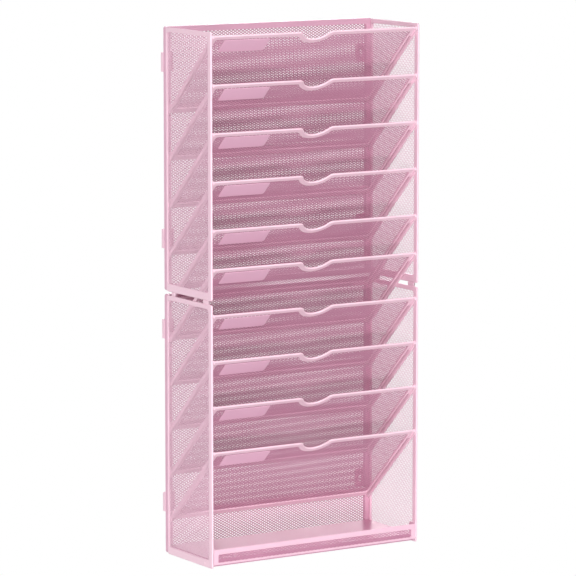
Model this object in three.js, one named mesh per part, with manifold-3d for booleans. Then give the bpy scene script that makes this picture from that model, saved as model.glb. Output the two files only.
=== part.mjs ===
// Wall file holder: two stacked mesh frames with ten sloping folder pockets and a low tray.
// Millimetres, +Z up. The wall is the plane y = 0 and the open front faces -Y.
import * as THREE from 'three';
import { mergeVertices } from 'three/addons/utils/BufferGeometryUtils.js';
import Module from 'manifold-3d';

const wasm = await Module();
wasm.setup();

// Overall sizes
const caseWidth = 325;
const bodyDepth = 121;
const unitHeight = 349.5;
const unitGap = 5;
const wallStandoff = 6;

// Sheet steel, folds and fits
const meshThick = 0.6;
const foldWall = 0.8;
const foldGrip = 2;
const plateThick = 1.2;
const fitGap = 0.3;
const cutOverrun = 4;
const arcSteps = 3;

// Side frames
const sideFrontStrip = 8;
const sideBackStrip = 3.5;
const sideTopStrip = 6;
const sideBottomStrip = 10;
const sideCornerRadius = 3;
const sideWindowRadius = 4;

// Back frames
const backDepth = 5.7;
const backStrip = 8;
const backRise = 0.7;
const backInset = 0.6;
const backCornerRadius = 3;
const backWindowRadius = 3;
const backChannelLip = 1.2;

// Pockets
const pocketsPerUnit = 5;
const topRimDrop = 4.3;
const upperLastRimRise = 93.8;
const crossRimRise = 47.4;
const lowerLastRimRise = 155.2;
const pocketDrop = 106.6;
const rimSetback = 2.6;
const rimStrip = 6.4;
const pocketEndStrip = 8;
const pocketBottomStrip = 8;
const pocketWindowRadius = 3;
const beadWidth = 3;
const beadProud = 0.2;
const endFlangeDepth = 2.4;
const backFlangeHeight = 9;

// Thumb notch in each pocket's rim, a little right of the middle
const notchCentre = 1.5;
const notchHalfWidth = 26.5;
const notchDepth = 14.8;
const notchShoulder = 8;
const windowNotchExtra = 1;
const windowNotchShoulder = 2;

// Label plates
const labelWidth = 70;
const labelHeight = 23.5;
const labelThick = 1;
const labelLeft = 21.4;
const labelDrop = 8.2;
const labelRadius = 3.5;

// Tray
const railHeight = 20.8;
const railRise = 4.3;
const railTopStrip = 6.8;
const railBottomStrip = 3.2;
const railEndStrip = 6.8;
const railWindowRadius = 1.5;
const railFlangeDepth = 13.5;
const railFlangeHeight = 22.7;
const floorTop = 11.5;
const floorSheet = 1;
const floorFlange = 9;

// Tabs that join the upper side frames to the lower ones
const tabThick = 1.2;
const tabTongue = 2.5;
const frontTabWidth = 13.7;
const frontTabSetback = 8;
const backTabWidth = 9;
const backTabSetback = 13;

// Wall hangers
const hangerHeight = 25.5;
const hangerFoot = 8;
const hangerPlate = 18;
const hangerTopDrop = 46.5;
const hangerBottomRise = 69.3;
const keyholeInset = 10.5;
const keyholeRise = 10;
const keyholeRadius = 3.6;
const keySlotRadius = 1.9;
const keySlotRise = 7;

// Sizes that follow from those above
const frontY = -(bodyDepth + wallStandoff);
const frameThick = meshThick + 2 * fitGap + 2 * foldWall;
const grooveThick = meshThick + 2 * fitGap;
const grooveReach = foldGrip + fitGap;
const sideDepth = bodyDepth - backDepth - fitGap;
const innerHalf = caseWidth / 2 - frameThick - fitGap;
const upperBase = unitHeight + unitGap;
const topRim = upperBase + unitHeight - topRimDrop;
const upperPitch = (topRim - upperBase - upperLastRimRise) / (pocketsPerUnit - 1);
const crossRim = unitHeight + crossRimRise;
const lowerPitch = (crossRim - lowerLastRimRise) / (pocketsPerUnit - 1);
const slopeRun = sideDepth - rimSetback;
const slopeAngle = Math.atan2(pocketDrop, slopeRun);
const slopeLength = Math.hypot(pocketDrop, slopeRun);
const unitNames = ['upper', 'lower'];
const sideNames = ['left', 'right'];

// Directions: a flat outline is drawn in x and y, and its thickness runs along X or towards the front
const xAxis = new THREE.Vector3(1, 0, 0);
const yAxis = new THREE.Vector3(0, 1, 0);
const zAxis = new THREE.Vector3(0, 0, 1);
const alongX = new THREE.Matrix4().makeBasis(yAxis, zAxis, xAxis);
const towardsFront = new THREE.Matrix4().makeBasis(xAxis, zAxis, yAxis.clone().negate());

const holder = new THREE.Group();

// Points on an arc, both ends included
function arcPoints(x, y, radius, from, to, steps = arcSteps) {
  const points = [];
  for (let i = 0; i <= steps; i += 1) {
    const angle = from + ((to - from) * i) / steps;
    points.push(new THREE.Vector2(x + radius * Math.cos(angle), y + radius * Math.sin(angle)));
  }
  return points;
}

// Rectangle with rounded corners, anticlockwise from its lower right corner
function roundedRect(left, bottom, right, top, radius) {
  const quarter = Math.PI / 2;
  return [
    ...arcPoints(right - radius, bottom + radius, radius, -quarter, 0),
    ...arcPoints(right - radius, top - radius, radius, 0, quarter),
    ...arcPoints(left + radius, top - radius, radius, quarter, 2 * quarter),
    ...arcPoints(left + radius, bottom + radius, radius, 2 * quarter, 3 * quarter),
  ];
}

// Flat plate from an outline, with holes
function plate(outline, thickness, holes = []) {
  const shape = new THREE.Shape(outline);
  for (const hole of holes) {
    shape.holes.push(new THREE.Path(hole));
  }
  return new THREE.ExtrudeGeometry(shape, { depth: thickness, bevelEnabled: false });
}

// Box between two corners
function block(low, high) {
  const size = high.map((value, i) => value - low[i]);
  const box = new THREE.BoxGeometry(...size);
  return box.translate(...low.map((value, i) => value + size[i] / 2));
}

// Closed solid for joining and cutting
function solid(geometry) {
  const bare = geometry.clone();
  bare.deleteAttribute('normal');
  bare.deleteAttribute('uv');
  const merged = mergeVertices(bare);
  const mesh = new wasm.Mesh({
    numProp: 3,
    vertProperties: new Float32Array(merged.attributes.position.array),
    triVerts: new Uint32Array(merged.index.array),
  });
  return new wasm.Manifold(mesh);
}

// Geometry of a finished solid
function geometryOf(body) {
  const mesh = body.getMesh();
  const geometry = new THREE.BufferGeometry();
  geometry.setAttribute('position', new THREE.BufferAttribute(mesh.vertProperties, 3));
  geometry.setIndex(new THREE.BufferAttribute(mesh.triVerts, 1));
  geometry.computeVertexNormals();
  return geometry;
}

// Named piece with its own material
function piece(name, geometry, color, roughness) {
  const material = new THREE.MeshStandardMaterial({ color, roughness, metalness: 0.1 });
  const mesh = new THREE.Mesh(geometry, material);
  mesh.name = name;
  return mesh;
}

function framePiece(name, geometry) {
  return piece(name, geometry, 0xf0c9d9, 0.35);
}

function meshPiece(name, geometry) {
  return piece(name, geometry, 0xdfa9c2, 0.5);
}

// Folded strip round a window, with a groove in its inner edge for the mesh
function foldedFrame(outline, windowOutline, grooveOutline) {
  const ring = solid(plate(outline, frameThick, [windowOutline]));
  const groove = plate(grooveOutline, grooveThick).translate(0, 0, foldWall);
  return ring.subtract(solid(groove));
}

// Mesh sheet in the middle of its frame's thickness
function sheet(outline) {
  return plate(outline, meshThick).translate(0, 0, foldWall + fitGap);
}

// Side frames and their mesh, drawn from the front plane backwards
function sideWindow(grow) {
  const radius = sideWindowRadius + grow;
  const back = sideDepth - sideBackStrip + grow;
  const top = unitHeight - sideTopStrip + grow;
  return roundedRect(sideFrontStrip - grow, sideBottomStrip - grow, back, top, radius);
}

function tabStarts() {
  return [
    { end: 'front', start: frontTabSetback, width: frontTabWidth },
    { end: 'back', start: sideDepth - backTabSetback - backTabWidth, width: backTabWidth },
  ];
}

function tabSlot(tab, edge, inwards) {
  const depth = tabTongue + fitGap;
  const heights = [edge + inwards * depth, edge - inwards * cutOverrun].sort((a, b) => a - b);
  const wall = (frameThick - tabThick) / 2 - fitGap;
  const low = [tab.start - fitGap, heights[0], wall];
  const high = [tab.start + tab.width + fitGap, heights[1], frameThick - wall];
  return solid(block(low, high));
}

function sideFrameBody(unit) {
  const outline = roundedRect(0, 0, sideDepth, unitHeight, sideCornerRadius);
  let body = foldedFrame(outline, sideWindow(0), sideWindow(grooveReach));
  for (const tab of tabStarts()) {
    const slot = unit === 'upper' ? tabSlot(tab, 0, 1) : tabSlot(tab, unitHeight, -1);
    body = body.subtract(slot);
  }
  return body;
}

function addSide(unit, base, side) {
  const left = side === 'left' ? -caseWidth / 2 : caseWidth / 2 - frameThick;
  const frame = framePiece(`side_frame_${unit}_${side}`, geometryOf(sideFrameBody(unit)));
  const net = meshPiece(`side_mesh_${unit}_${side}`, sheet(sideWindow(foldGrip)));
  for (const mesh of [frame, net]) {
    mesh.setRotationFromMatrix(alongX);
    mesh.position.set(left, frontY, base);
    holder.add(mesh);
  }
}

// Back frames and their mesh, with a channel behind the fold
function backOutline(grow) {
  const half = caseWidth / 2 - backInset + grow;
  return roundedRect(-half, -grow, half, unitHeight + grow, backCornerRadius + grow);
}

function backWindow(grow) {
  const half = caseWidth / 2 - backInset - backStrip + grow;
  const low = backStrip - grow;
  return roundedRect(-half, low, half, unitHeight - low, backWindowRadius + grow);
}

function backFrameBody() {
  const ring = solid(plate(backOutline(0), backDepth, [backWindow(0)]));
  const fold = backDepth - frameThick;
  const groove = plate(backWindow(grooveReach), grooveThick).translate(0, 0, fold + foldWall);
  const channel = plate(backOutline(-backChannelLip), fold + cutOverrun, [backWindow(backChannelLip)]);
  return ring.subtract(solid(groove)).subtract(solid(channel.translate(0, 0, -cutOverrun)));
}

function addBack(unit, base) {
  const frame = framePiece(`back_frame_${unit}`, geometryOf(backFrameBody()));
  const net = meshPiece(`back_mesh_${unit}`, sheet(backWindow(foldGrip)));
  frame.position.y = -wallStandoff;
  net.position.y = -wallStandoff - (backDepth - frameThick);
  for (const mesh of [frame, net]) {
    mesh.setRotationFromMatrix(towardsFront);
    mesh.position.z = base + backRise;
    holder.add(mesh);
  }
}

// Thumb notch: two shoulders and a shallow bowl that meet without a corner, right to left
function notchPoints(halfWidth, shoulder, drop) {
  const reach = (halfWidth ** 2 / notchDepth + notchDepth) / 2;
  const turn = Math.asin(halfWidth / reach);
  const quarter = Math.PI / 2;
  const bowl = reach - shoulder;
  const start = notchCentre + halfWidth;
  const bowlY = bowl - notchDepth - drop;
  const right = arcPoints(start, -drop - shoulder, shoulder, quarter, quarter + turn, arcSteps - 1);
  const low = arcPoints(notchCentre, bowlY, bowl, turn - quarter, -turn - quarter, 2 * arcSteps);
  const left = right.map((point) => new THREE.Vector2(2 * notchCentre - point.x, point.y)).reverse();
  return [...right, ...low.slice(1, -1), ...left];
}

// Pocket panel, drawn up the slope from its rim at y = 0; its thickness runs to the underside
function pocketOutline() {
  const corners = [
    new THREE.Vector2(-innerHalf, 0),
    new THREE.Vector2(-innerHalf, -slopeLength),
    new THREE.Vector2(innerHalf, -slopeLength),
    new THREE.Vector2(innerHalf, 0),
  ];
  return [...notchPoints(notchHalfWidth, notchShoulder, 0), ...corners];
}

function pocketWindow(grow) {
  const half = innerHalf - pocketEndStrip + grow;
  const top = -rimStrip + grow;
  const bottom = -slopeLength + pocketBottomStrip - grow;
  const corners = roundedRect(-half, bottom, half, top, pocketWindowRadius + grow);
  const rightCorners = corners.slice(0, 2 * (arcSteps + 1));
  const leftCorners = corners.slice(2 * (arcSteps + 1));
  const notchHalf = notchHalfWidth + windowNotchExtra;
  const notch = notchPoints(notchHalf, windowNotchShoulder + grow, -top);
  return [...rightCorners, ...notch, ...leftCorners];
}

// Rolled bead along the rim and round the notch
function rimBead() {
  const top = notchPoints(notchHalfWidth, notchShoulder, 0);
  const low = notchPoints(notchHalfWidth, notchShoulder - beadWidth, beadWidth).reverse();
  const outline = [
    new THREE.Vector2(innerHalf, 0),
    ...top,
    new THREE.Vector2(-innerHalf, 0),
    new THREE.Vector2(-innerHalf, -beadWidth),
    ...low,
    new THREE.Vector2(innerHalf, -beadWidth),
  ];
  return plate(outline, frameThick + 2 * beadProud).translate(0, 0, -beadProud);
}

// Place in the sloping panel of a point given by its distance behind and below the rim
function onSlope(behind, below) {
  const up = -behind * Math.cos(slopeAngle) - below * Math.sin(slopeAngle);
  const under = -behind * Math.sin(slopeAngle) + below * Math.cos(slopeAngle);
  return new THREE.Vector2(up, under);
}

// Flange against a side frame, from the panel forwards and down, with upright ends
function endFlange() {
  const front = fitGap - rimSetback;
  const frontTop = front * Math.tan(slopeAngle);
  const drop = (frameThick + endFlangeDepth) / Math.cos(slopeAngle);
  const outline = [
    onSlope(0, 0),
    onSlope(slopeRun, pocketDrop),
    onSlope(slopeRun, pocketDrop + drop),
    onSlope(front, frontTop + drop),
    onSlope(front, frameThick),
  ];
  return plate(outline, plateThick).applyMatrix4(alongX);
}

// Flange up the back, which the folders' lower edges rest against
function backFlange() {
  const outline = [
    onSlope(slopeRun, pocketDrop),
    onSlope(slopeRun, pocketDrop - backFlangeHeight),
    onSlope(slopeRun - plateThick, pocketDrop - backFlangeHeight),
    onSlope(slopeRun - plateThick, pocketDrop),
  ];
  return plate(outline, 2 * innerHalf).applyMatrix4(alongX).translate(-innerHalf, 0, 0);
}

function pocketFrameBody() {
  const panel = foldedFrame(pocketOutline(), pocketWindow(0), pocketWindow(grooveReach));
  const leftFlange = solid(endFlange().translate(-innerHalf, 0, 0));
  const rightFlange = solid(endFlange().translate(innerHalf - plateThick, 0, 0));
  return panel.add(solid(rimBead())).add(leftFlange).add(rightFlange).add(solid(backFlange()));
}

function labelPlate() {
  const left = -innerHalf + labelLeft;
  const top = -labelDrop;
  const outline = roundedRect(left, top - labelHeight, left + labelWidth, top, labelRadius);
  return plate(outline, labelThick).translate(0, 0, foldWall + 2 * fitGap + meshThick);
}

function addPocket(number, rimHeight) {
  const label = String(number).padStart(2, '0');
  const pocket = new THREE.Group();
  pocket.add(framePiece(`pocket_frame_${label}`, geometryOf(pocketFrameBody())));
  pocket.add(meshPiece(`pocket_mesh_${label}`, sheet(pocketWindow(foldGrip))));
  pocket.add(piece(`label_plate_${label}`, labelPlate(), 0xdca6bd, 0.4));
  pocket.rotation.x = Math.PI - slopeAngle;
  pocket.position.set(0, frontY + rimSetback, rimHeight);
  holder.add(pocket);
}

// Tray: a low rail with end flanges, and a sheet floor with its edges folded down
function railOutline(left, bottom, right, top, grow) {
  return roundedRect(left - grow, bottom - grow, right + grow, top + grow, railWindowRadius + grow);
}

function railWindow(grow) {
  const half = innerHalf - railEndStrip;
  return railOutline(-half, railBottomStrip, half, railHeight - railTopStrip, grow);
}

function railFrameBody() {
  const outline = railOutline(-innerHalf, 0, innerHalf, railHeight, 0);
  let body = foldedFrame(outline, railWindow(0), railWindow(grooveReach));
  for (const left of [-innerHalf, innerHalf - plateThick]) {
    const low = [left, 0, frameThick - railFlangeDepth];
    const high = [left + plateThick, railFlangeHeight, frameThick];
    body = body.add(solid(block(low, high)));
  }
  return body;
}

// The floor's front corners step in behind the rail's end flanges
function floorOutline(inset) {
  const wide = innerHalf - inset;
  const narrow = innerHalf - plateThick - fitGap - inset;
  const front = frameThick + fitGap + inset;
  const step = railFlangeDepth + fitGap + inset;
  const back = sideDepth - inset;
  const right = [
    new THREE.Vector2(narrow, front),
    new THREE.Vector2(narrow, step),
    new THREE.Vector2(wide, step),
    new THREE.Vector2(wide, back),
  ];
  const left = right.map((point) => new THREE.Vector2(-point.x, point.y)).reverse();
  return [...right, ...left];
}

function floorBody() {
  const outer = solid(plate(floorOutline(0), floorFlange));
  const hollow = plate(floorOutline(floorSheet), floorFlange - floorSheet + cutOverrun);
  return outer.subtract(solid(hollow.translate(0, 0, -cutOverrun)));
}

function addTray() {
  const frame = framePiece('tray_rail_frame', geometryOf(railFrameBody()));
  const net = meshPiece('tray_rail_mesh', sheet(railWindow(foldGrip)));
  for (const mesh of [frame, net]) {
    mesh.setRotationFromMatrix(towardsFront);
    mesh.position.set(0, frontY + frameThick, railRise);
    holder.add(mesh);
  }
  const floor = framePiece('tray_floor', geometryOf(floorBody()));
  floor.position.set(0, frontY, floorTop - floorFlange);
  holder.add(floor);
}

// Joining tabs: a block in the gap between the units, with a tongue up and a tongue down
function tabBody(tab) {
  const gap = unitGap - 2 * fitGap;
  const filler = solid(block([0, 0, 0], [tab.width, gap, frameThick]));
  const side = (frameThick - tabThick) / 2;
  const reach = fitGap + tabTongue;
  const tongues = block([0, -reach, side], [tab.width, gap + reach, frameThick - side]);
  return filler.add(solid(tongues));
}

function addTab(tab, side) {
  const left = side === 'left' ? -caseWidth / 2 : caseWidth / 2 - frameThick;
  const mesh = framePiece(`join_tab_${tab.end}_${side}`, geometryOf(tabBody(tab)));
  mesh.setRotationFromMatrix(alongX);
  mesh.position.set(left, frontY + tab.start, unitHeight + fitGap);
  holder.add(mesh);
}

// Keyhole: a round hole for the screw's head with a slot above it for its shank
function keyholePoints(x, y) {
  const quarter = Math.PI / 2;
  const half = Math.asin(keySlotRadius / keyholeRadius);
  return [
    ...arcPoints(x, y, keyholeRadius, quarter + half, 5 * quarter - half, 3 * arcSteps),
    ...arcPoints(x, y + keySlotRise - keySlotRadius, keySlotRadius, 0, 2 * quarter),
  ];
}

// Wall hanger: foot on the back frame, web flush with the side, plate on the wall
function hangerBody(outward) {
  const depth = wallStandoff - fitGap;
  const profile = [
    [0, 0],
    [hangerFoot, 0],
    [hangerFoot, plateThick],
    [plateThick, plateThick],
    [plateThick, depth - plateThick],
    [hangerPlate, depth - plateThick],
    [hangerPlate, depth],
    [0, depth],
  ].map(([inward, back]) => new THREE.Vector2(-outward * inward, back));
  const keyhole = plate(keyholePoints(-outward * keyholeInset, keyholeRise), 2 * plateThick);
  keyhole.applyMatrix4(towardsFront).translate(0, depth + plateThick / 2, 0);
  return solid(plate(profile, hangerHeight)).subtract(solid(keyhole));
}

function hangerHeights() {
  const heights = [];
  for (const base of [upperBase, 0]) {
    heights.push(base + unitHeight - hangerTopDrop);
    heights.push(base + hangerBottomRise);
  }
  return heights;
}

function addHanger(number, height, side) {
  const outward = side === 'left' ? -1 : 1;
  const mesh = framePiece(`wall_hanger_${side}_${number}`, geometryOf(hangerBody(outward)));
  mesh.position.set((outward * caseWidth) / 2, -wallStandoff + fitGap, height - hangerHeight / 2);
  holder.add(mesh);
}

// Assembly
for (const unit of unitNames) {
  const base = unit === 'upper' ? upperBase : 0;
  addBack(unit, base);
  for (const side of sideNames) {
    addSide(unit, base, side);
  }
}

for (let i = 0; i < pocketsPerUnit; i += 1) {
  addPocket(i + 1, topRim - i * upperPitch);
  addPocket(i + 1 + pocketsPerUnit, crossRim - i * lowerPitch);
}

addTray();

for (const side of sideNames) {
  for (const tab of tabStarts()) {
    addTab(tab, side);
  }
  hangerHeights().forEach((height, i) => addHanger(i + 1, height, side));
}

export default holder;
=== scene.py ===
import math

import bmesh
import bpy
from mathutils import Matrix, Vector


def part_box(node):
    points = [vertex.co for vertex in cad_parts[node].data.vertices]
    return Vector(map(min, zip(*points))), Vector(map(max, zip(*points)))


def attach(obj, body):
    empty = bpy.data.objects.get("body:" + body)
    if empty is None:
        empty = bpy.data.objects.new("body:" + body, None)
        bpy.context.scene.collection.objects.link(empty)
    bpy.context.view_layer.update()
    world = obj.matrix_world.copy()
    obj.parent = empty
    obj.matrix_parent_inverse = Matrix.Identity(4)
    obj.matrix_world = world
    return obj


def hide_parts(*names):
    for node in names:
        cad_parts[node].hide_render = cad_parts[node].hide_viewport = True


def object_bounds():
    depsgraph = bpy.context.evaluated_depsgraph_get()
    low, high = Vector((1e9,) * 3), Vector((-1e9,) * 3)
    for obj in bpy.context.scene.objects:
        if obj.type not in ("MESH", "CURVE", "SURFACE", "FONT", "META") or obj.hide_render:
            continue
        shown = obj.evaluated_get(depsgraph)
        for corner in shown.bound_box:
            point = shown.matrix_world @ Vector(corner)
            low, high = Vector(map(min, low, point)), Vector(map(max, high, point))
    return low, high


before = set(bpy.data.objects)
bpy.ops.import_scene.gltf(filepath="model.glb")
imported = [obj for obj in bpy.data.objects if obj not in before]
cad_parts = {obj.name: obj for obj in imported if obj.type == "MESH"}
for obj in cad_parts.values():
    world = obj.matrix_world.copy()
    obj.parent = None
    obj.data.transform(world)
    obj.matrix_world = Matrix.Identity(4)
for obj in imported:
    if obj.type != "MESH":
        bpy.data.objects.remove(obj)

# Wall file holder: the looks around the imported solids. Lengths in the pieces' dictionaries are millimetres.
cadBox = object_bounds()
caseLow, caseHigh = (Vector(corner) for corner in cadBox)
mm = 0.001
acrossX = Vector((1, 0, 0))
backY = Vector((0, 1, 0))
upZ = Vector((0, 0, 1))
unitNames = ("upper", "lower")
sideNames = ("left", "right")
pocketNumbers = range(1, 11)               # from the top down
fitGap = 0.3 * mm                          # clearance between two pieces
skin = 0.1 * mm                            # keeps plates clear of faces they would share
print("frame loaded,", len(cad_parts), "nodes")


# Shader maths

class Wire:                                # one value on its way through a shader
    def __init__(self, shader, socket):
        self.shader = shader
        self.socket = socket

    def __add__(self, other):
        return self.shader.maths("ADD", self, other)

    def __radd__(self, other):
        return self.shader.maths("ADD", other, self)

    def __mul__(self, other):
        return self.shader.maths("MULTIPLY", self, other)

    def __rmul__(self, other):
        return self.shader.maths("MULTIPLY", other, self)


class Shader:                              # the nodes of a material or of the world
    def __init__(self, owner):
        owner.use_nodes = True
        self.tree = owner.node_tree

    def add(self, kind, settings, inputs, output=0):
        node = self.tree.nodes.new(kind)
        for key, value in settings.items():
            setattr(node, key, value)
        return self.feed(node, inputs, output)

    def feed(self, node, inputs, output=0):    # a wire is linked to its socket, a value is set on it
        for key, value in inputs.items():
            if isinstance(value, Wire):
                self.tree.links.new(value.socket, node.inputs[key])
            else:
                node.inputs[key].default_value = value
        return Wire(self, node.outputs[output]) if node.outputs else None

    def own(self, name, inputs):           # a node that the tree has from the start
        return self.feed(self.tree.nodes[name], inputs)

    def maths(self, operation, first, second):
        return self.add("ShaderNodeMath", {"operation": operation}, {0: first, 1: second})


screenCurve = {"white": 255, "lift": 0.055, "power": 2.4}


def linear(red, green, blue):              # screen colour, 0 to 255, as a shader colour
    lift = screenCurve["lift"]
    parts = [(part / screenCurve["white"] + lift) / (1 + lift) for part in (red, green, blue)]
    return (*[part ** screenCurve["power"] for part in parts], 1.0)


# Powder coat

paint = {                                  # a colour and that of its darker patches; one pink powder coat throughout, whose plain tone is the frames', with a lit copy for the side nets and darker copies that paint shade
    "frame": ((243, 209, 223), (236, 197, 213)),
    # pocket, back and tray rail nets: a darker copy of the coat, painted shade of the pockets' insides
    "mesh": ((203, 146, 172), (189, 130, 157)),
    # side nets: the lit copy of the same coat, close to the frames' tone
    "sideNetLit": ((234, 197, 214), (224, 183, 202)),
    # back frames: a darker copy of the coat, painted shade of the back
    "back": ((221, 174, 195), (212, 162, 185)),
    # tray rail: a darker copy of the coat, painted shade
    "rail": ((234, 194, 212), (226, 183, 202)),
    # tray floor: a darker copy of the coat, painted shade
    "tray": ((208, 152, 177), (199, 142, 168)),
    # label plates: a darker, pinker copy of the coat, painted shade of the sloping undersides
    "label": ((238, 191, 214), (231, 181, 206)),
    "ior": 1.5,
    "trayIor": 1.22,                       # the tray is duller than the frames
    "roughness": 0.36,
    "roughnessSpread": 0.12,
    "cloudScale": 14.0,                    # slow change of tone along a strip
    "cloudDetail": 3.0,
    "peelScale": 900.0,                    # orange peel of the coating
    "peelDetail": 2.0,
    "peelHeight": 0.02,
    "peel": 0.6,
    "meshPeel": 0.3,
}


def powderCoat(name, tones, peel, ior=paint["ior"]):
    material = bpy.data.materials.new(name)
    shader = Shader(material)
    light, shade = (linear(*tone) for tone in tones)
    place = shader.add("ShaderNodeTexCoord", {}, {}, "Object")
    cloud = shader.add("ShaderNodeTexNoise", {},
                       {"Vector": place, "Scale": paint["cloudScale"], "Detail": paint["cloudDetail"]})
    grain = shader.add("ShaderNodeTexNoise", {},
                       {"Vector": place, "Scale": paint["peelScale"], "Detail": paint["peelDetail"]})
    colour = shader.add("ShaderNodeMix", {"data_type": "RGBA"}, {0: cloud, 6: shade, 7: light}, 2)
    bump = shader.add("ShaderNodeBump", {},
                      {"Strength": peel, "Distance": paint["peelHeight"] * mm, "Height": grain})
    rough = paint["roughness"] - paint["roughnessSpread"] / 2 + cloud * paint["roughnessSpread"]
    shader.own("Principled BSDF", {"Base Color": colour, "Roughness": rough, "Normal": bump, "IOR": ior})
    return material


framePaint = powderCoat("framePowderCoat", paint["frame"], paint["peel"])
# nets: a shaded copy of the coat on pockets, back and tray rail, painted shade; a lit copy on the sides
netPaintedShade = powderCoat("netPaintedShadeCoat", paint["mesh"], paint["meshPeel"])
sideNetLitPaint = powderCoat("sideNetLitCoat", paint["sideNetLit"], paint["meshPeel"])
# back frames in a darker copy of the coat: painted shade
backShadedPaint = powderCoat("backShadedPowderCoat", paint["back"], paint["peel"])
# tray rail in a darker copy of the coat: painted shade
railShadedPaint = powderCoat("railShadedPowderCoat", paint["rail"], paint["peel"])
# tray floor in a darker copy of the coat: painted shade
trayShadedPaint = powderCoat("trayShadedPowderCoat", paint["tray"], paint["peel"], paint["trayIor"])
# label plates in a darker, pinker copy of the coat: painted shade
labelShadedPaint = powderCoat("labelShadedPowderCoat", paint["label"], paint["peel"])
print("materials ready")


# Modelling helpers: an outline is drawn flat, thickened along z and then stood in its place

shaping = {
    "sharpAngle": 50,                      # degrees from which an edge stays sharp
    "cornerSteps": 5,
    "flatRise": 0.9, "wallRise": 0.1,      # z of a normal: on a flat side at least, on a wall at most
}


def standing(origin, right, up):
    turn = Matrix((right, up, right.cross(up))).transposed().to_4x4()
    return Matrix.Translation(origin) @ turn


def boxOf(node):
    return tuple(Vector(corner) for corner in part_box(node))


def addPiece(name, bm, place, material, node, smooth=True):
    bmesh.ops.transform(bm, matrix=place, verts=bm.verts[:])
    mesh = bpy.data.meshes.new(name)
    sharp = math.radians(shaping["sharpAngle"])
    for face in bm.faces:
        face.smooth = smooth
    for edge in bm.edges:
        edge.smooth = not edge.is_manifold or edge.calc_face_angle() < sharp
    bm.to_mesh(mesh)
    bm.free()
    piece = bpy.data.objects.new(name, mesh)
    bpy.context.scene.collection.objects.link(piece)
    mesh.materials.append(material)
    if smooth:
        finish = piece.modifiers.new("even shading", "WEIGHTED_NORMAL")
        finish.keep_sharp = True
    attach(piece, "root")
    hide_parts(node)
    return piece


def newFace(bm, known):                    # the one face that isn't among the known ones
    return next(face for face in bm.faces if face not in known)


def newEdges(bm, known):
    return [edge for edge in bm.edges if edge not in known]


def vertsIn(geom):
    return [item for item in geom if isinstance(item, bmesh.types.BMVert)]


def roundCorners(bm, corners, radii):
    for corner, radius in zip(corners, radii):
        bmesh.ops.bevel(bm, geom=[corner], offset=radius, offset_type="OFFSET", profile=0.5,
                        segments=shaping["cornerSteps"], affect="VERTICES", material=-1)


# Radii belong to the lower left, lower right, upper left and upper right corner
def roundedFace(bm, left, bottom, right, top, radii):
    known = set(bm.faces)
    verts = bmesh.ops.create_grid(bm, x_segments=1, y_segments=1, size=0.5)["verts"]
    bmesh.ops.scale(bm, vec=(right - left, top - bottom, 1), verts=verts)
    bmesh.ops.translate(bm, vec=((left + right) / 2, (bottom + top) / 2, 0), verts=verts)
    roundCorners(bm, verts, radii)
    return newFace(bm, known)


def asLoop(bm, face):
    edges = face.edges[:]
    bmesh.ops.delete(bm, geom=[face], context="FACES_ONLY")
    return edges


def ringEdges(bm, outerFace, innerFace):   # edges of both outlines; marks the points of the inner one
    layer = bm.verts.layers.int.new("inner")
    for vert in innerFace.verts:
        vert[layer] = 1
    return asLoop(bm, outerFace) + asLoop(bm, innerFace)


def flatRing(bm, outerFace, innerFace):
    return bmesh.ops.bridge_loops(bm, edges=ringEdges(bm, outerFace, innerFace))["faces"]


def filledRing(bm, outerFace, innerFace):  # for a border whose two outlines have unlike points
    edges = ringEdges(bm, outerFace, innerFace)
    bmesh.ops.triangle_fill(bm, use_beauty=True, use_dissolve=False, edges=edges)
    return bm.faces[:]


def extrudeBy(bm, faces, offset):
    made = bmesh.ops.extrude_face_region(bm, geom=faces)["geom"]
    bmesh.ops.translate(bm, vec=offset, verts=vertsIn(made))


def thicken(bm, faces, depth):
    extrudeBy(bm, faces, (0, 0, depth))
    bmesh.ops.recalc_face_normals(bm, faces=bm.faces[:])


def rimEdges(bm, inner):                   # edges between a flat side and a wall
    layer = bm.verts.layers.int.get("inner")
    chosen = []
    for edge in bm.edges:
        rises = [abs(face.normal.z) for face in edge.link_faces]
        isInner = layer is not None and all(vert[layer] for vert in edge.verts)
        if max(rises) > shaping["flatRise"] and min(rises) < shaping["wallRise"] and isInner == inner:
            chosen.append(edge)
    return chosen


def soften(bm, edges, radius, steps):
    bmesh.ops.bevel(bm, geom=edges, offset=radius, offset_type="OFFSET", segments=steps,
                    profile=0.5, affect="EDGES", material=-1, clamp_overlap=True)


def addBlock(bm, low, high):
    low, high = Vector(low), Vector(high)
    verts = bmesh.ops.create_cube(bm, size=1)["verts"]
    bmesh.ops.scale(bm, vec=high - low, verts=verts)
    bmesh.ops.translate(bm, vec=(low + high) / 2, verts=verts)


def stepTo(bm, vert, x, y):                # draws an outline straight on to a place
    end = bmesh.ops.extrude_vert_indiv(bm, verts=[vert])["verts"][0]
    end.co = (x, y, 0)
    return end


def sweepAbout(bm, geom, x, y, angle, steps):    # sweeps points or edges round a centre
    made = bmesh.ops.spin(bm, geom=geom, cent=(x, y, 0), axis=(0, 0, 1), dvec=(0, 0, 0),
                          angle=angle, steps=steps, use_merge=False, use_duplicate=False)
    return [item for item in made["geom_last"] if isinstance(item, type(geom[0]))]


def turnAbout(bm, vert, x, y, angle, steps):    # draws an outline on round a centre
    return sweepAbout(bm, [vert], x, y, angle, steps)[0]


# Folded strips

fold = {"thick": 2.8, "hem": 1.15, "hemSteps": 4, "lip": 0.3, "lipSteps": 2}


def foldedRing(bm, outerFace, innerFace):
    thicken(bm, flatRing(bm, outerFace, innerFace), fold["thick"] * mm)
    soften(bm, rimEdges(bm, False), fold["hem"] * mm, fold["hemSteps"])
    soften(bm, rimEdges(bm, True), fold["lip"] * mm, fold["lipSteps"])


# Expanded mesh

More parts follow.
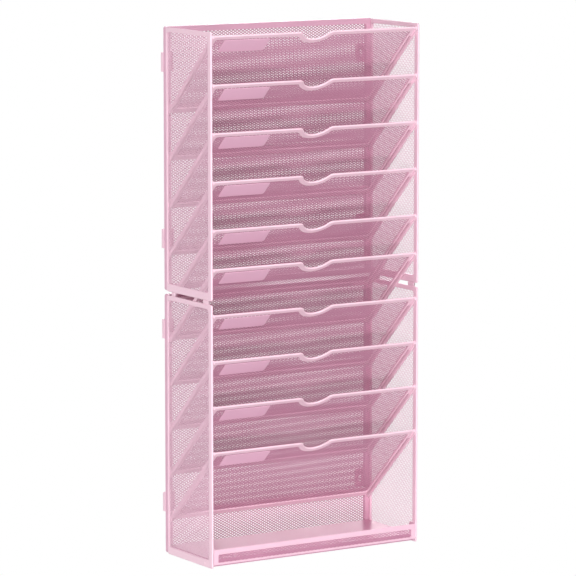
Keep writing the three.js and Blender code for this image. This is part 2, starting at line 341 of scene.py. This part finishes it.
net = {
    "cellLong": 6.0, "cellShort": 3.5, "strand": 1.2, "sideStrand": 0.84,
    "flatten": 0.45,                       # height of a strand to its width
    "tuck": 1.6,                           # reach into the fold of the strip
    "spareCells": 3,
}


def expandedNet(left, bottom, right, top, keep=None, upright=False):
    bm = bmesh.new()
    wide, high, strand = net["cellLong"] * mm, net["cellShort"] * mm, net["strand"] * mm
    if upright:
        wide, high, strand = high, wide, net["sideStrand"] * mm
    cells = math.ceil((right - left) / wide + (top - bottom) / high) + net["spareCells"]
    bmesh.ops.create_grid(bm, x_segments=cells, y_segments=cells, size=cells / 2)
    bmesh.ops.rotate(bm, matrix=Matrix.Rotation(math.pi / 4, 3, "Z"), verts=bm.verts[:])
    diagonal = math.sqrt(2)
    bmesh.ops.scale(bm, vec=(wide / diagonal, high / diagonal, 1), verts=bm.verts[:])
    bmesh.ops.translate(bm, vec=((left + right) / 2, (bottom + top) / 2, 0), verts=bm.verts[:])
    tuck = net["tuck"] * mm
    outside = []
    for face in bm.faces:
        centre = face.calc_center_median()
        within = left - tuck < centre.x < right + tuck and bottom - tuck < centre.y < top + tuck
        if not within or (keep and not keep(centre.x, centre.y)):
            outside.append(face)
    bmesh.ops.delete(bm, geom=outside, context="FACES")
    bmesh.ops.wireframe(bm, faces=bm.faces[:], thickness=strand, offset=0,
                        use_replace=True, use_boundary=True, use_even_offset=True)
    bmesh.ops.scale(bm, vec=(1, 1, net["flatten"]), verts=bm.verts[:])
    bmesh.ops.translate(bm, vec=(0, 0, fold["thick"] * mm / 2), verts=bm.verts[:])
    return bm


# Spot welds: small shallow domes

weld = {"radius": 1.2, "height": 0.25, "around": 16, "rings": 8}


def addWeld(bm, x, y, z, radius=weld["radius"], height=weld["height"]):
    verts = bmesh.ops.create_uvsphere(bm, u_segments=weld["around"], v_segments=weld["rings"],
                                      radius=radius * mm)["verts"]
    bmesh.ops.scale(bm, vec=(1, 1, height / radius), verts=verts)
    bmesh.ops.translate(bm, vec=(x, y, z), verts=verts)


# Side panels

sidePanel = {
    "front": 8, "back": 3.5, "top": 6, "bottom": 10, "corner": 3, "windowCorner": 4,
    "netOut": 0.7,                         # the net lies nearer to the outer face
    "weldIn": 5.6, "weldBelow": 9,
    "rivetIn": 19.5, "rivetUp": 5.2, "rivetRadius": 2.2, "rivetHeight": 0.7,
}


def addSidePanel(unit, side):
    frameNode = f"side_frame_{unit}_{side}"
    low, high = boxOf(frameNode)
    depth, height = high.y - low.y, high.z - low.z
    place = standing(low, backY, upZ)
    bm = bmesh.new()
    outer = roundedFace(bm, 0, 0, depth, height, [sidePanel["corner"] * mm] * 4)
    window = (sidePanel["front"] * mm, sidePanel["bottom"] * mm,
              depth - sidePanel["back"] * mm, height - sidePanel["top"] * mm)
    inner = roundedFace(bm, *window, [sidePanel["windowCorner"] * mm] * 4)
    foldedRing(bm, outer, inner)
    outside = 0 if side == "left" else fold["thick"] * mm
    for number in pocketNumbers:           # a spot weld just below each rim
        rise = boxOf(f"pocket_frame_{number:02d}")[1].z - sidePanel["weldBelow"] * mm - low.z
        if 0 < rise < height:
            addWeld(bm, sidePanel["weldIn"] * mm, rise, outside)
    if unit == "lower":
        addWeld(bm, sidePanel["rivetIn"] * mm, sidePanel["rivetUp"] * mm, outside,
                sidePanel["rivetRadius"], sidePanel["rivetHeight"])
    addPiece(f"sideFold_{unit}_{side}", bm, place, framePaint, frameNode)
    outward = -1 if side == "left" else 1
    netPlace = place @ Matrix.Translation((0, 0, outward * sidePanel["netOut"] * mm))
    addPiece(f"sideNet_{unit}_{side}", expandedNet(*window, upright=True), netPlace, sideNetLitPaint,
             f"side_mesh_{unit}_{side}", smooth=False)


for unit in unitNames:
    for side in sideNames:
        addSidePanel(unit, side)
print("side panels ready")


# Back panels

backPanel = {"strip": 8, "corner": 3, "windowCorner": 3, "lip": 1.2}


def addBackPanel(unit):
    frameNode = f"back_frame_{unit}"
    low, high = boxOf(frameNode)
    width, height, depth = high.x - low.x, high.z - low.z, high.y - low.y
    sink = depth - fold["thick"] * mm      # depth of the channel behind the strip
    place = standing(Vector((low.x, high.y, low.z)), acrossX, upZ)
    bm = bmesh.new()
    strip = backPanel["strip"] * mm
    outer = roundedFace(bm, 0, 0, width, height, [backPanel["corner"] * mm] * 4)
    window = (strip, strip, width - strip, height - strip)
    inner = roundedFace(bm, *window, [backPanel["windowCorner"] * mm] * 4)
    thicken(bm, flatRing(bm, outer, inner), depth)
    rear = [face for face in bm.faces if face.normal.z < -shaping["flatRise"]]
    bmesh.ops.inset_region(bm, faces=rear, thickness=backPanel["lip"] * mm, depth=-sink,
                           use_even_offset=True)
    front = [edge for edge in rimEdges(bm, False) if edge.verts[0].co.z > depth / 2]
    soften(bm, front, fold["hem"] * mm, fold["hemSteps"])
    addPiece(f"backFold_{unit}", bm, place, backShadedPaint, frameNode)
    netPlace = place @ Matrix.Translation((0, 0, sink))
    addPiece(f"backNet_{unit}", expandedNet(*window), netPlace, netPaintedShade,
             f"back_mesh_{unit}", smooth=False)


for unit in unitNames:
    addBackPanel(unit)
print("back panels ready")


# Pockets

pocket = {
    "rimStrip": 6.4, "endStrip": 8, "bottomStrip": 8, "windowCorner": 3, "corner": 0.5,
    "beadRadius": 1.45, "beadProud": 0.2, "beadSides": 14,
    "notchCentre": 1.5, "notchHalf": 26.5, "notchDepth": 14.8, "notchShoulder": 8,
    "windowNotchHalf": 27.5, "windowShoulder": 2,
    "shoulderSteps": 6, "bowlSteps": 20,
    "setback": 2.6, "drop": 106.6,
    "flangeDepth": 2.4, "flangeThick": 1.2, "endFlange": 2.6, "backFlange": 9,
    "endGap": 3.2, "endGapDrop": 16.5,     # the slot between the end strip and its flange
    "weldBelow": 13, "weldAbove": 20,      # from the rim and from the foot of the slope
}
slopeRun = (boxOf("side_frame_lower_left")[1].y - caseLow.y) - pocket["setback"] * mm
slopeAngle = math.atan2(pocket["drop"] * mm, slopeRun)
slopeLength = math.hypot(pocket["drop"] * mm, slopeRun)
upSlope = Vector((0, -math.cos(slopeAngle), math.sin(slopeAngle)))


def notchArcs(half):                       # radii of bowl and shoulder, added up, and the shoulder's angle
    depth = pocket["notchDepth"] * mm
    reach = (half ** 2 / depth + depth) / 2
    return reach, math.asin(half / reach)


def notchTurns(half, shoulder, top):       # centre, angle and steps of shoulder, bowl and shoulder
    centre = pocket["notchCentre"] * mm
    reach, turn = notchArcs(half)
    bowlRise = reach - shoulder - pocket["notchDepth"] * mm + top
    return ((centre + half, top - shoulder, turn, pocket["shoulderSteps"]),
            (centre, bowlRise, -2 * turn, pocket["bowlSteps"]),
            (centre - half, top - shoulder, turn, pocket["shoulderSteps"]))


# Corners run from the top left round to the top right
def notchedFace(bm, corners, notchHalf, shoulder, radius):
    top = corners[0][1]
    knownFaces = set(bm.faces)
    knownEdges = set(bm.edges)
    start = bmesh.ops.create_vert(bm, co=(*corners[-1], 0))["vert"][0]
    vert = stepTo(bm, start, pocket["notchCentre"] * mm + notchHalf, top)
    for arc in notchTurns(notchHalf, shoulder, top):
        vert = turnAbout(bm, vert, *arc)
    turned = [start]
    for corner in corners[:-1]:
        vert = stepTo(bm, vert, *corner)
        turned.append(vert)
    bm.edges.new((vert, start))
    bmesh.ops.contextual_create(bm, geom=newEdges(bm, knownEdges))
    roundCorners(bm, turned, [radius] * len(turned))
    return newFace(bm, knownFaces)


def bothSides(rightCorners):               # the corners on the left, then on the right from the bottom up
    left = [(-x, y) for x, y in rightCorners]
    return left + rightCorners[::-1]


def pocketWindow(half):
    return (-half + pocket["endStrip"] * mm, -slopeLength + pocket["bottomStrip"] * mm,
            half - pocket["endStrip"] * mm, -pocket["rimStrip"] * mm)


def slideTo(bm, ring, x):                  # sweeps a ring of edges straight across
    made = bmesh.ops.extrude_edge_only(bm, edges=ring)["geom"]
    verts = vertsIn(made)
    now = sum(vert.co.x for vert in verts) / len(verts)
    bmesh.ops.translate(bm, vec=(x - now, 0, 0), verts=verts)
    return [item for item in made if isinstance(item, bmesh.types.BMEdge)]


def addBead(bm, half):                     # the rolled rim, swept along the edge and round the notch
    radius = pocket["beadRadius"] * mm
    notchHalf = pocket["notchHalf"] * mm
    known = set(bm.edges)
    verts = bmesh.ops.create_circle(bm, segments=pocket["beadSides"], radius=radius)["verts"]
    rightEnd = newEdges(bm, known)
    middle = fold["thick"] * mm / 2
    start = Matrix.Translation((half, -radius, middle)) @ Matrix.Rotation(math.pi / 2, 4, "Y")
    bmesh.ops.transform(bm, matrix=start, verts=verts)
    ring = slideTo(bm, rightEnd, pocket["notchCentre"] * mm + notchHalf)
    for arc in notchTurns(notchHalf, pocket["notchShoulder"] * mm, 0):
        ring = sweepAbout(bm, ring, *arc)
    for end in (rightEnd, slideTo(bm, ring, -half)):
        bmesh.ops.contextual_create(bm, geom=end)


def addPlate(bm, corners, thick, x):       # plate in the y-z plane of the panel, thick along x
    verts = [bm.verts.new((x, corner[0], corner[1])) for corner in corners]
    extrudeBy(bm, [bm.faces.new(verts)], (thick, 0, 0))


def onSlope(behind, below):                # distance behind and below the rim, in the panel's y and z
    return (-behind * math.cos(slopeAngle) - below * math.sin(slopeAngle),
            -behind * math.sin(slopeAngle) + below * math.cos(slopeAngle))


def addFlanges(bm, half):
    thick = pocket["flangeThick"] * mm
    drop = pocket["drop"] * mm
    front = -(pocket["setback"] * mm - fitGap)
    face = (fold["thick"] + pocket["flangeDepth"]) * mm
    deep = face / math.cos(slopeAngle)
    end = [onSlope(0, skin), onSlope(slopeRun, drop + skin), onSlope(slopeRun, drop + deep),
           onSlope(front, front * math.tan(slopeAngle) + deep), onSlope(front, fold["thick"] * mm)]
    wide = pocket["endFlange"] * mm
    addPlate(bm, end, wide, -half)
    addPlate(bm, end, wide, half - wide)
    top = drop - pocket["backFlange"] * mm
    rear = [onSlope(slopeRun - skin, drop), onSlope(slopeRun - skin, top),
            onSlope(slopeRun - thick, top), onSlope(slopeRun - thick, drop)]
    addPlate(bm, rear, 2 * (half - skin), skin - half)
    bmesh.ops.recalc_face_normals(bm, faces=bm.faces[:])
    for x in (wide / 2 - half, half - wide / 2):
        for y in (-pocket["weldBelow"] * mm, pocket["weldAbove"] * mm - slopeLength):
            addWeld(bm, x, y, face)


def pocketFold(half):
    bm = bmesh.new()
    inset = pocket["beadRadius"] * mm
    narrow = half - (pocket["endFlange"] + pocket["endGap"]) * mm
    step = -pocket["endGapDrop"] * mm
    border = bothSides([(half, -inset), (half, step), (narrow, step), (narrow, -slopeLength)])
    outer = notchedFace(bm, border, pocket["notchHalf"] * mm, pocket["notchShoulder"] * mm - inset,
                        pocket["corner"] * mm)
    left, bottom, right, top = pocketWindow(half)
    opening = bothSides([(right, top), (right, bottom)])
    inner = notchedFace(bm, opening, pocket["windowNotchHalf"] * mm, pocket["windowShoulder"] * mm,
                        pocket["windowCorner"] * mm)
    thicken(bm, filledRing(bm, outer, inner), fold["thick"] * mm)
    soften(bm, rimEdges(bm, True), fold["lip"] * mm, fold["lipSteps"])
    addBead(bm, half)
    addFlanges(bm, half)
    return bm


def besideNotch(x, y):                     # true below the notch's window line
    half = pocket["windowNotchHalf"] * mm
    reach, turn = notchArcs(half)
    shoulder = pocket["windowShoulder"] * mm
    depth = pocket["notchDepth"] * mm
    bowl = reach - shoulder
    x -= pocket["notchCentre"] * mm
    if abs(x) < bowl * math.sin(turn):
        dip = depth - bowl + math.sqrt(bowl ** 2 - x ** 2)
    elif abs(x) < half:
        dip = shoulder - math.sqrt(max(shoulder ** 2 - (half - abs(x)) ** 2, 0))
    else:
        dip = 0
    return y < (net["tuck"] - pocket["rimStrip"]) * mm - dip


label = {
    "width": 70, "height": 23.5, "left": 21.4, "drop": 8.2, "thick": 1.0, "lift": 2.0,
    "edge": 0.3, "edgeSteps": 2,
    "corners": (2, 3.5, 1.2, 1.2),         # lower left, lower right, upper left, upper right
}


def labelFace(half):
    bm = bmesh.new()
    left = -half + label["left"] * mm
    top = -label["drop"] * mm
    radii = [radius * mm for radius in label["corners"]]
    face = roundedFace(bm, left, top - label["height"] * mm, left + label["width"] * mm, top, radii)
    thicken(bm, [face], label["thick"] * mm)
    soften(bm, rimEdges(bm, False), label["edge"] * mm, label["edgeSteps"])
    return bm


def addPocket(number):
    frameNode = f"pocket_frame_{number:02d}"
    low, high = boxOf(frameNode)
    half = (high.x - low.x) / 2
    rim = high.z - pocket["beadProud"] * mm * math.cos(slopeAngle)
    place = standing(Vector((0, caseLow.y + pocket["setback"] * mm, rim)), acrossX, upSlope)
    raised = place @ Matrix.Translation((0, 0, label["lift"] * mm))
    addPiece(f"pocketFold_{number:02d}", pocketFold(half), place, framePaint, frameNode)
    panel = expandedNet(*pocketWindow(half), keep=besideNotch)
    addPiece(f"pocketNet_{number:02d}", panel, place, netPaintedShade,
             f"pocket_mesh_{number:02d}", smooth=False)
    addPiece(f"labelPlate_{number:02d}", labelFace(half), raised, labelShadedPaint,
             f"label_plate_{number:02d}")


for number in pocketNumbers:
    addPocket(number)
print("pockets ready")


# Tray

tray = {
    "railHeight": 20.8, "topStrip": 6.8, "bottomStrip": 3.2, "endStrip": 6.8,
    "corner": 1.2, "windowCorner": 0.8,
    "flangeDepth": 13.5, "flangeThick": 1.2,
    "tabRound": 3, "tabSteps": 5,          # the flanges rise above the rail as small round tabs
    "sheet": 1.0, "fold": 1.2, "foldSteps": 4,
}


def addRail():
    low, high = boxOf("tray_rail_frame")
    thick = fold["thick"] * mm
    width, height = high.x - low.x, tray["railHeight"] * mm
    place = standing(Vector((low.x, low.y + thick, low.z)), acrossX, upZ)
    bm = bmesh.new()
    outer = roundedFace(bm, 0, 0, width, height, [tray["corner"] * mm] * 4)
    window = (tray["endStrip"] * mm, tray["bottomStrip"] * mm,
              width - tray["endStrip"] * mm, height - tray["topStrip"] * mm)
    inner = roundedFace(bm, *window, [tray["windowCorner"] * mm] * 4)
    foldedRing(bm, outer, inner)
    depth = tray["flangeDepth"] * mm
    tall = high.z - low.z
    corners = [(skin, thick - skin), (tall, thick - skin), (tall, thick - depth), (skin, thick - depth)]
    for x in (0, width - tray["flangeThick"] * mm):
        addPlate(bm, corners, tray["flangeThick"] * mm, x)
    bmesh.ops.recalc_face_normals(bm, faces=bm.faces[:])
    tops = []                              # the two upper corners of each flange
    for edge in bm.edges:
        first, second = (vert.co for vert in edge.verts)
        if min(first.y, second.y) > tall - skin and abs(first.z - second.z) < skin:
            tops.append(edge)
    soften(bm, tops, tray["tabRound"] * mm, tray["tabSteps"])
    addPiece("trayRailFold", bm, place, railShadedPaint, "tray_rail_frame")
    addPiece("trayRailNet", expandedNet(*window), place, netPaintedShade, "tray_rail_mesh",
             smooth=False)


def addFloor():
    low, high = boxOf("tray_floor")
    bm = bmesh.new()
    step = tray["flangeThick"] * mm + fitGap
    notch = boxOf("tray_rail_frame")[1].y + fitGap
    corners = [(low.x + step, low.y), (high.x - step, low.y), (high.x - step, notch), (high.x, notch),
               (high.x, high.y), (low.x, high.y), (low.x, notch), (low.x + step, notch)]
    face = bm.faces.new([bm.verts.new((x, y, high.z)) for x, y in corners])
    made = bmesh.ops.extrude_edge_only(bm, edges=face.edges[:])["geom"]
    bmesh.ops.translate(bm, vec=(0, 0, low.z - high.z), verts=vertsIn(made))
    bmesh.ops.recalc_face_normals(bm, faces=bm.faces[:])
    if face.normal.z < 0:
        bmesh.ops.reverse_faces(bm, faces=bm.faces[:])
    soften(bm, face.edges[:], tray["fold"] * mm, tray["foldSteps"])
    bmesh.ops.solidify(bm, geom=bm.faces[:], thickness=tray["sheet"] * mm)
    bmesh.ops.recalc_face_normals(bm, faces=bm.faces[:])
    addPiece("trayFloorSheet", bm, Matrix.Identity(4), trayShadedPaint, "tray_floor")


addRail()
addFloor()
print("tray ready")


# Joining tabs

tab = {"thick": 1.2, "tongue": 2.5, "edge": 0.4, "edgeSteps": 2}


def addTab(end, side):                     # a block between the units, with a tongue into each
    node = f"join_tab_{end}_{side}"
    low, high = boxOf(node)
    tongue = tab["tongue"] * mm + fitGap
    middle = (low.x + high.x) / 2
    thin = tab["thick"] * mm / 2
    bm = bmesh.new()
    addBlock(bm, (low.x, low.y, low.z + tongue), (high.x, high.y, high.z - tongue))
    soften(bm, bm.edges[:], tab["edge"] * mm, tab["edgeSteps"])
    addBlock(bm, (middle - thin, low.y, low.z), (middle + thin, high.y, high.z))
    addPiece(f"joinTab_{end}_{side}", bm, Matrix.Identity(4), framePaint, node)


for side in sideNames:
    for end in ("front", "back"):
        addTab(end, side)
print("joining tabs ready")


# Wall hangers

hanger = {
    "perSide": 4, "foot": 8, "thick": 1.2,
    "corner": 1.5, "square": 0.01,         # radii of the free corners and of those at the case
    "keyInset": 10.5, "keyRise": 10, "keyRadius": 3.6, "keySteps": 20,
    "slotRise": 7, "slotRadius": 1.9, "slotSteps": 8,
}


def keyholeLoop(bm, x, y):
    wide, slim = hanger["keyRadius"] * mm, hanger["slotRadius"] * mm
    half = math.asin(slim / wide)
    known = set(bm.edges)
    reach = math.cos(half) * wide
    start = bmesh.ops.create_vert(bm, co=(x - slim, y + reach, 0))["vert"][0]
    vert = turnAbout(bm, start, x, y, 2 * math.pi - 2 * half, hanger["keySteps"])
    top = y + hanger["slotRise"] * mm - slim
    vert = stepTo(bm, vert, x + slim, top)
    vert = turnAbout(bm, vert, x, top, math.pi, hanger["slotSteps"])
    bm.edges.new((vert, start))
    return newEdges(bm, known)


def addHanger(side, number):
    node = f"wall_hanger_{side}_{number}"
    low, high = boxOf(node)
    wide, tall, deep = high.x - low.x, high.z - low.z, high.y - low.y
    bm = bmesh.new()
    radii = [hanger["square"] * mm, hanger["corner"] * mm] * 2
    outer = asLoop(bm, roundedFace(bm, skin, 0, wide, tall, radii))
    hole = keyholeLoop(bm, hanger["keyInset"] * mm, hanger["keyRise"] * mm)
    bmesh.ops.triangle_fill(bm, use_beauty=True, use_dissolve=False, edges=outer + hole)
    thick = hanger["thick"] * mm
    thicken(bm, bm.faces[:], thick)
    addBlock(bm, (0, skin, skin), (thick, tall - skin, deep - skin))
    addBlock(bm, (skin, 0, deep - thick), (hanger["foot"] * mm, tall, deep))
    outerX = caseLow.x if side == "left" else caseHigh.x
    inward = 1 if side == "left" else -1
    place = standing(Vector((outerX, high.y, low.z)), acrossX, upZ) @ Matrix.Diagonal((inward, 1, 1, 1))
    bmesh.ops.transform(bm, matrix=place, verts=bm.verts[:])
    bmesh.ops.recalc_face_normals(bm, faces=bm.faces[:])
    addPiece(f"wallHanger_{side}_{number}", bm, Matrix.Identity(4), framePaint, node)


for side in sideNames:
    for number in range(1, hanger["perSide"] + 1):
        addHanger(side, number)
print("wall hangers ready")


# Floor, light and camera: metres, degrees and watts, and millimetres for the lens

studio = {
    "floorDrop": 0.45, "floorRadius": 1.5, "floorSides": 96,
    "floorPlain": 0.7,                     # radius at which the floor starts to fade
    "floorTone": 0.75, "floorRoughness": 0.9,
    "ambient": 0.06,
    "aim": (0, -0.06, 0.35),               # where the lamps point
}
lamps = {                                  # place, width, height and power
    "keyLamp": ((-2.0, -3.5, 2.1), 1.6, 2.4, 144),
    "leftLamp": ((-4.2, 0.4, 0.6), 1.6, 1.6, 62),
    "topLamp": ((0.3, -1.3, 3.4), 2.0, 1.5, 26),
    "frontLamp": ((-0.6, -3.5, -0.15), 2.4, 0.5, 58),
    "backLamp": ((2.7, 2.9, 1.5), 2.0, 2.4, 105),
}
whiteTone = (1, 1, 1, 1)


def whiteForCamera(shader, lit, white):    # what the camera and reflections see is plain white
    seen = shader.add("ShaderNodeLightPath", {}, {}, "Is Camera Ray")
    for ray in ("Is Glossy Ray", "Is Transmission Ray"):
        seen = shader.maths("MAXIMUM", seen, shader.add("ShaderNodeLightPath", {}, {}, ray))
    return shader.add("ShaderNodeMixShader", {}, {0: seen, 1: lit, 2: white})


def addWorld():
    world = bpy.data.worlds.new("studio")
    bpy.context.scene.world = world
    shader = Shader(world)
    lit = shader.own("Background", {"Color": whiteTone, "Strength": studio["ambient"]})
    white = shader.add("ShaderNodeBackground", {}, {"Color": whiteTone})
    shader.own("World Output", {"Surface": whiteForCamera(shader, lit, white)})


def floorPaint():                          # fades to the white of the background towards the edge
    material = bpy.data.materials.new("studioWhite")
    shader = Shader(material)
    tone = (*[studio["floorTone"]] * 3, 1)
    lit = shader.own("Principled BSDF", {"Base Color": tone, "Roughness": studio["floorRoughness"]})
    place = shader.add("ShaderNodeTexCoord", {}, {}, "Object")
    reach = shader.add("ShaderNodeVectorMath", {"operation": "LENGTH"}, {0: place}, "Value")
    fade = shader.add("ShaderNodeMapRange", {"interpolation_type": "SMOOTHSTEP"},
                      {"Value": reach, "From Min": studio["floorPlain"], "From Max": studio["floorRadius"]})
    white = shader.add("ShaderNodeEmission", {}, {"Color": whiteTone})
    faded = shader.add("ShaderNodeMixShader", {}, {0: fade, 1: lit, 2: white})
    shader.own("Material Output", {"Surface": whiteForCamera(shader, lit, faded)})
    return material


def addFloorDisc():
    bm = bmesh.new()
    bmesh.ops.create_circle(bm, cap_ends=True, segments=studio["floorSides"], radius=studio["floorRadius"])
    bmesh.ops.translate(bm, vec=(0, 0, -studio["floorDrop"]), verts=bm.verts[:])
    mesh = bpy.data.meshes.new("studioFloor")
    bm.to_mesh(mesh)
    bm.free()
    floor = bpy.data.objects.new("studioFloor", mesh)
    bpy.context.scene.collection.objects.link(floor)
    mesh.materials.append(floorPaint())


def addLamp(name, place, width, height, power):
    lamp = bpy.data.lights.new(name, "AREA")
    lamp.shape = "RECTANGLE"
    lamp.size = width
    lamp.size_y = height
    lamp.energy = power
    holder = bpy.data.objects.new(name, lamp)
    bpy.context.scene.collection.objects.link(holder)
    holder.location = place
    aim = Vector(studio["aim"]) - Vector(place)
    holder.rotation_euler = aim.to_track_quat("-Z", "Y").to_euler()


view = {"place": (-2.595, -4.1655, 1.0426), "yaw": 32.27, "pitch": 8.09, "lens": 229.5}


def addCamera():
    camera = bpy.data.cameras.new("photoView")
    camera.lens = view["lens"]
    holder = bpy.data.objects.new("photoView", camera)
    bpy.context.scene.collection.objects.link(holder)
    holder.location = view["place"]
    holder.rotation_euler = (math.radians(90 - view["pitch"]), 0, math.radians(-view["yaw"]))
    bpy.context.scene.camera = holder


addWorld()
addFloorDisc()
for name, settings in lamps.items():
    addLamp(name, *settings)
addCamera()
bpy.context.scene.view_settings.view_transform = "Standard"
print("studio ready")
